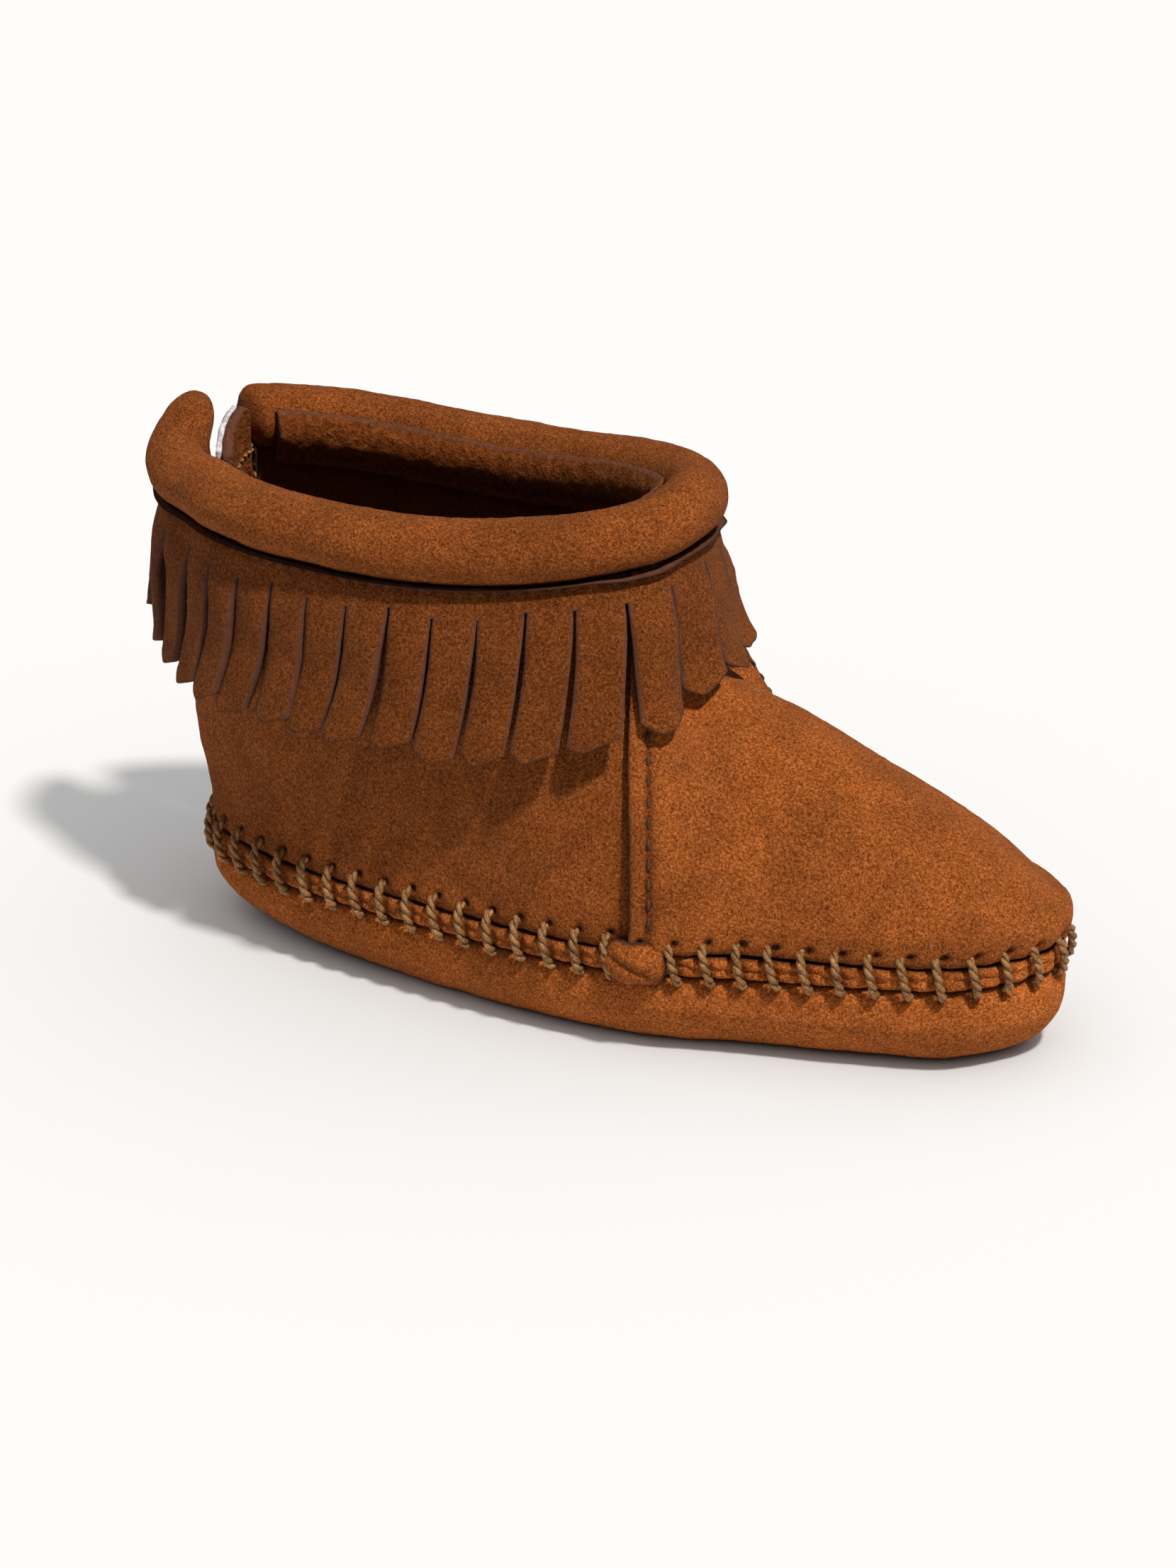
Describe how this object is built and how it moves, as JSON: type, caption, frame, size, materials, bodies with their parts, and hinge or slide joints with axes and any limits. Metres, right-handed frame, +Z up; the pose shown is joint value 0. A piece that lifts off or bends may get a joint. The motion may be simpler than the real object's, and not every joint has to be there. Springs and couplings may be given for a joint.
{
  "type": "infant suede moccasin bootie",
  "caption": "Infant's soft suede ankle bootie for the right foot, with a padded rolled collar, cut fringe, whip-stitched sole seam and a back opening.",
  "frame": {"origin": "on the ground under the middle of the sole seam's length, on the shoe's middle line", "axes": "+X towards the toe, +Y towards the inner side of the foot, +Z up"},
  "size_m": [0.1341, 0.0522, 0.0722],
  "materials": {
    "suede": "short napped suede, rust brown",
    "dark_suede": "longer fuzzy flesh side of the same suede",
    "foam": "soft cream padding",
    "gold_cord": "twisted two-ply cord with a gold sheen",
    "dark_thread": "dark brown sewing thread",
    "tape": "white hook-and-loop tape"
  },
  "bodies": {
    "boot": {"sole_bottom": "suede", "insole_pad": "foam", "sock_liner": "dark_suede", "welt_strip": "suede", "whip_stitch_thread": "gold_cord", "vamp": "suede", "quarter_right": "suede", "quarter_left": "suede", "heel_panel": "dark_suede", "vamp_stitch_right": "gold_cord", "vamp_stitch_left": "gold_cord", "seam_tab_right": "suede", "seam_tab_left": "suede", "collar_roll": "suede", "collar_filler": "foam", "collar_facing": "dark_suede", "collar_stitch": "dark_thread", "fringe": "suede"},
    "overlap": {"quarter_right_end": "suede", "collar_roll_end": "suede", "collar_filler_end": "foam", "collar_facing_end": "dark_suede", "collar_stitch_end": "dark_thread", "fringe_end": "suede", "hook_tape": "tape"},
    "inner_flap": {"back_flap": "dark_suede", "loop_tape": "tape", "flap_stitch": "gold_cord"}
  },
  "joints": [
    {"name": "overlap_open", "type": "hinge", "parent": "boot", "child": "overlap", "pos_m": [-0.05467, -0.01955, 0.05], "axis": [0, 0, 1], "range_deg": [0, 70]},
    {"name": "back_flap_swing", "type": "hinge", "parent": "boot", "child": "inner_flap", "pos_m": [-0.06076, 0.00666, 0.05], "axis": [0, 0, 1], "range_deg": [0, 30]}
  ]
}
